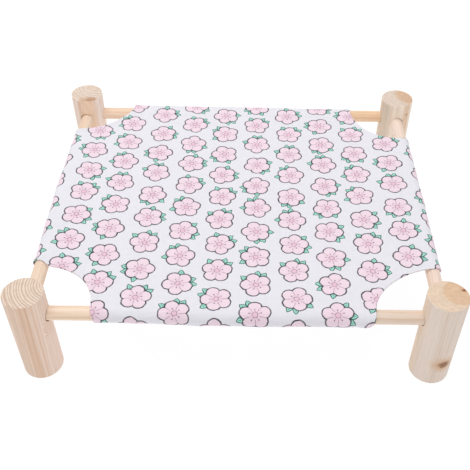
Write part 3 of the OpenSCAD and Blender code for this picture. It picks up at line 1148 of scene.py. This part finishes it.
def wrapFlap(sleeve, along, onX, sign, settings):
    # rows of the mesh from a rail's top line round it to the allowance: points, flat places, hem weights
    # and the lines where the hems of the sleeve's two ends are sewn, each with the rail's axis beside it
    railZ, outerLine = (longRailZ, halfY) if onX else (shortRailZ, halfX)
    t = 2 * (along - along[0]) / (along[-1] - along[0]) - 1
    points, flats, weights = [], [], []
    sewn = {"Start": [], "End": []}
    for station in wrapStations(settings):
        kind, share, run = station
        shorter = {}
        for end in sewn:
            mitre = smoothStep(run, *settings["mitreFrom"].get(sleeve + end, settings["mitreUsual"]))
            sloped = settings["slope"][sleeve + end] * min(run, settings["slopeRun"])
            shorter[end] = sloped + mitre * settings["mitre"]
        shifted = along + shorter["Start"] * smoothStep(-t, 0.0, 1.0)
        shifted = shifted - shorter["End"] * smoothStep(t, 0.0, 1.0)
        edge = np.minimum(shifted - shifted[0], shifted[-1] - shifted)
        weight = hemWeight(edge, settings)
        # the flap comes back to lie under the panel
        inward = -seamIn - (settings["allowance"] * share if kind == "allowance" else 0)
        line = np.full(len(along), sign * (outerLine + inward))
        below = panelHeight(*inOrder(onX, shifted, line), settings) - railZ
        below = below - 2 * settings["thick"] - settings["seamGap"] - weight * settings["hemRaise"]
        raised = hemRelief(edge, settings)
        u, v = wrapSection(station, t, shifted, sleeve, inward, below, raised, settings)
        row = np.stack([*inOrder(onX, shifted, sign * (outerLine + u)), railZ + v], -1)
        points.append(row)
        flats.append(np.stack(inOrder(onX, shifted, np.full(len(along), sign * (outerLine + run))), -1))
        weights.append(weight)
        if kind != "allowance":
            sewn["Start"].append(alongPath(shifted[0] + settings["hem"], shifted, row))
            sewn["End"].append(alongPath(shifted[-1] - settings["hem"], shifted, row))
    endLines = []
    for path in map(np.array, sewn.values()):
        axis = path.copy()
        axis[:, 1 if onX else 0] = sign * outerLine
        axis[:, 2] = railZ
        endLines.append((path, axis))
    return points, flats, weights, endLines


def gridQuads(index, flip=False):
    near, beyond = (index[1:], index[:-1]) if flip else (index[:-1], index[1:])
    return np.stack([near[:, :-1], near[:, 1:], beyond[:, 1:], beyond[:, :-1]], -1).reshape(-1, 4)


def newSmoothPiece(name, points, faces):
    mesh = bpy.data.meshes.new(name)
    mesh.from_pydata(points.tolist(), [], faces)
    mesh.polygons.foreach_set("use_smooth", np.ones(len(mesh.polygons), bool))
    piece = bpy.data.objects.new(name, mesh)
    bpy.context.collection.objects.link(piece)
    return piece


def makeSling(settings):
    p, q = panelGrid(settings)
    index = np.arange(p.size).reshape(p.shape)
    points = [np.stack([p, q, panelHeight(p, q, settings)], -1).reshape(-1, 3)]
    flats = [np.stack([p, q], -1).reshape(-1, 2)]
    weights = [hemWeight(cutDistance(p, q, settings), settings).ravel()]
    quads = [gridQuads(index)]
    endLines = []
    sides = slice(settings["cutRows"], settings["rows"] - settings["cutRows"] + 1)
    # each flap grows from the panel's vertices along its rail
    flaps = (("front", index[0], True, -1), ("rear", index[-1], True, 1),
             ("left", index[sides, 0], False, -1), ("right", index[sides, -1], False, 1))
    for sleeve, base, onX, sign in flaps:
        along = flats[0][base, 0 if onX else 1]
        rows, flatRows, rowWeights, sewn = wrapFlap(sleeve, along, onX, sign, settings)
        start = sum(len(part) for part in points)
        added = np.arange(start, start + len(rows) * len(base)).reshape(-1, len(base))
        quads.append(gridQuads(np.vstack([base, added]), onX == (sign < 0)))
        points += rows
        flats += flatRows
        weights += rowWeights
        endLines += sewn
    points, flats, quads, weights = (np.concatenate(part) for part in (points, flats, quads, weights))
    sling = newSmoothPiece("sling", points, quads.tolist())
    layer = sling.data.uv_layers.new(name="flat")
    layer.data.foreach_set("uv", flats[quads.ravel()].astype(np.float32).ravel())
    hem = sling.vertex_groups.new(name="hem")
    for number in np.nonzero(weights > settings["hemFaint"])[0]:
        hem.add([int(number)], float(weights[number]), "REPLACE")
    # half the cross product of a quad's diagonals is its flat area
    first, second = flats[quads[:, 2]] - flats[quads[:, 0]], flats[quads[:, 3]] - flats[quads[:, 1]]
    area = np.abs(first[:, 0] * second[:, 1] - first[:, 1] * second[:, 0]).sum() / 2
    return sling, float(area), endLines


def thickenSling(sling, settings):
    selectOnly(sling)
    wall = sling.modifiers.new("thickness", "SOLIDIFY")
    wall.thickness = settings["hemThick"]
    wall.vertex_group = "hem"
    wall.thickness_vertex_group = settings["thick"] / settings["hemThick"]
    wall.offset = -1
    wall.material_offset = 1
    bpy.ops.object.modifier_apply(modifier="thickness")
    sling.vertex_groups.clear()


sling, cutArea, endLines = makeSling(slingSettings)
sling.data.materials.append(makeCloth("printedCotton", 1.0, clothSettings))
sling.data.materials.append(makeCloth("cottonReverse", clothSettings["reverse"], clothSettings))
thickenSling(sling, slingSettings)
flapLength = wrapStations(slingSettings)[-1][2]
print("sling made:", len(sling.data.polygons), "faces, flat area", round(cutArea, 4))

# stitches: one short length of thread, copied along every seam and hem
stitchSettings = {
    "pitch": 0.0032, "half": 0.39,  # half a stitch's length, in pitches
    "threadRadius": 0.00019, "threadSides": 6, "cuts": 3,
    "narrow": 0.45, "dive": 0.00022, "proud": 0.00006,
    "probe": 0.2, "aside": 0.0004,  # how far its direction and slope are felt for, in pitches and metres
    "seamReach": (0.17, 0.15), "seamPoints": 900, "seamClear": 0.4,  # of the hem, at a cut-out
    "hemSweep": (math.radians(1.5), math.radians(88.5)), "hemPoints": 400,
}


def makeStitchBlank(settings):
    half = settings["pitch"] * settings["half"]
    blank = added(bpy.ops.mesh.primitive_cylinder_add, "stitchBlank", vertices=settings["threadSides"],
                  radius=settings["threadRadius"], depth=2 * half, rotation=(0, math.pi / 2, 0))
    bpy.ops.object.transform_apply(rotation=True)
    bpy.ops.object.mode_set(mode="EDIT")
    choose(blank, "EDGE", lambda edge: runsAlong(edge, 0) > half)
    bpy.ops.mesh.subdivide(number_cuts=settings["cuts"])
    bpy.ops.object.mode_set(mode="OBJECT")
    for vertex in blank.data.vertices:  # each end dives into the cloth and narrows
        share = abs(vertex.co.x) / half
        vertex.co.y *= 1 - settings["narrow"] * share ** 3
        vertex.co.z = vertex.co.z * (1 - settings["narrow"] * share ** 3) - settings["dive"] * share ** 2
    return blank


def unit(vectors):
    return vectors / np.linalg.norm(vectors, axis=1)[:, None]


def evenSteps(path, settings):
    # points a stitch apart along a path, with the direction and the old point's number at each
    length = np.concatenate([[0], np.cumsum(np.linalg.norm(np.diff(path, axis=0), axis=1))])
    at = np.arange(settings["pitch"] / 2, length[-1], settings["pitch"])
    probe = settings["pitch"] * settings["probe"]
    forward = unit(alongPath(at + probe, length, path) - alongPath(at - probe, length, path))
    return alongPath(at, length, path), forward, np.interp(at, length, np.arange(len(path)))


def panelLine(p, q, settings):
    # stitch places on the panel's upper face, with the direction along and the way up
    path = np.stack([p, q, panelHeight(p, q, slingSettings)], -1)
    points, forward, _ = evenSteps(path, settings)
    beside = points + np.stack([-forward[:, 1], forward[:, 0], np.zeros(len(points))], -1) * settings["aside"]
    beside[:, 2] = panelHeight(beside[:, 0], beside[:, 1], slingSettings)
    return points, forward, unit(np.cross(forward, beside - points))


def seamLines(settings):
    lines = []
    count = settings["seamPoints"]
    alongX, alongY = (np.linspace(-reach, reach, count) for reach in settings["seamReach"])
    for sign in (-1, 1):
        acrossX, acrossY = (np.full(count, sign * (half - seamIn)) for half in (halfX, halfY))
        for p, q in ((alongX, acrossY), (acrossX, alongY)):
            keep = cutDistance(p, q, slingSettings) > slingSettings["hem"] * settings["seamClear"]
            lines.append(panelLine(p[keep], q[keep], settings))
    return lines


def hemLines(endLines, settings):
    lines = []
    angles = np.linspace(*settings["hemSweep"], settings["hemPoints"])
    for corner, (reachX, reachY, _, _) in slingSettings["cuts"].items():
        signX, signY = signsOf(corner)
        x, y = cutCurve(angles, corner, slingSettings, 1 + 2 * slingSettings["hem"] / (reachX + reachY))
        lines.append(panelLine(signX * (halfX - x), signY * (halfY - y), settings))
    for path, axis in endLines:
        points, forward, old = evenSteps(path, settings)
        up = points - alongPath(old, np.arange(len(axis)), axis)
        up = up - forward * (up * forward).sum(1)[:, None]
        lines.append((points, forward, unit(up)))
    return lines


def sewStitches(name, lines, below, settings):
    blank = makeStitchBlank(settings)
    shape = np.array([vertex.co for vertex in blank.data.vertices])
    faces = [list(face.vertices) for face in blank.data.polygons]
    bpy.data.objects.remove(blank)
    points, polygons = [], []
    for line in lines:
        for place, forward, up in zip(*line):
            left = np.cross(up, forward)
            # one stitch above the cloth, and one turned over below it
            for lift, side in ((settings["proud"], 1), (-below - settings["proud"], -1)):
                start = len(points) * len(shape)
                points.append(place + up * lift + shape @ np.array([forward, left * side, up * side]))
                polygons += [[start + i for i in face] for face in faces]
    return newSmoothPiece(name, np.concatenate(points), polygons)


threadLook = makeThread("cottonThread", threadSettings)
twoLayers = 2 * slingSettings["thick"] + slingSettings["seamGap"]
seamThread = sewStitches("seamStitches", seamLines(stitchSettings), twoLayers, stitchSettings)
hemThread = sewStitches(
    "hemStitches", hemLines(endLines, stitchSettings), slingSettings["hemThick"], stitchSettings)
for piece in (seamThread, hemThread):
    piece.data.materials.append(threadLook)
print("stitches sewn:", len(seamThread.data.polygons), len(hemThread.data.polygons))

for piece in (sling, seamThread, hemThread):
    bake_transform(piece)
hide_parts("sling_panel", "left_sleeve", "right_sleeve",
            "front_left_sleeve", "front_right_sleeve", "rear_left_sleeve", "rear_right_sleeve")

print("all pieces placed")
